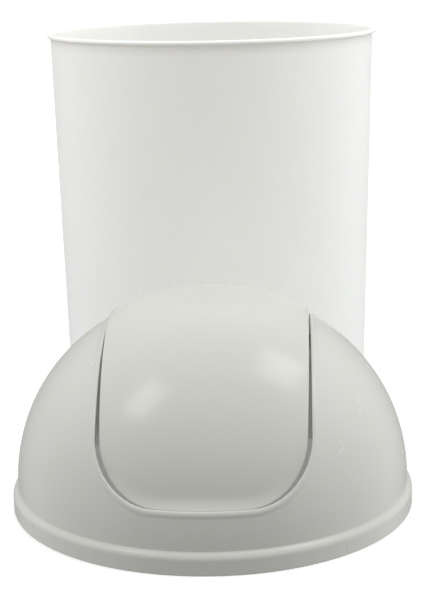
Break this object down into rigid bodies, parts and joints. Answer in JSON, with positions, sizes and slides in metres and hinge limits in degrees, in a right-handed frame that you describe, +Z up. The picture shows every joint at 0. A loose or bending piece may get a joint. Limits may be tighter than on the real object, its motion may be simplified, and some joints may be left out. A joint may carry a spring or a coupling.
{
  "type": "swing-top waste bin",
  "caption": "Round tapered waste bin with a rolled rim and a loose domed lid, whose curved flap swings both ways on side pins.",
  "frame": {"origin": "centre of the tub's foot, on the floor", "axes": "+Z up along the tub's axis; the lid stands on the floor on the -Y side, its front towards -Y; +X to the right as seen from the front"},
  "size_m": [0.4105, 0.8145, 0.4455],
  "materials": {
    "tub_plastic": "semi-matte white polypropylene",
    "lid_plastic": "glossy white polypropylene",
    "pin_plastic": "smooth white acetal"
  },
  "bodies": {
    "tub": {"tub": "tub_plastic"},
    "lid": {"dome_lid": "lid_plastic", "left_hinge_pin": "pin_plastic", "right_hinge_pin": "pin_plastic"},
    "flap": {"swing_flap": "lid_plastic"}
  },
  "joints": [
    {"name": "lid_lift", "type": "slide", "parent": "tub", "child": "lid", "axis": [0, 0, 1], "range_m": [0, 0.5]},
    {"name": "flap_swing", "type": "hinge", "parent": "lid", "child": "flap", "pos_m": [-0.008, -0.412, 0.167], "axis": [0.9986, -0.0523, 0], "range_deg": [-50, 50]}
  ]
}
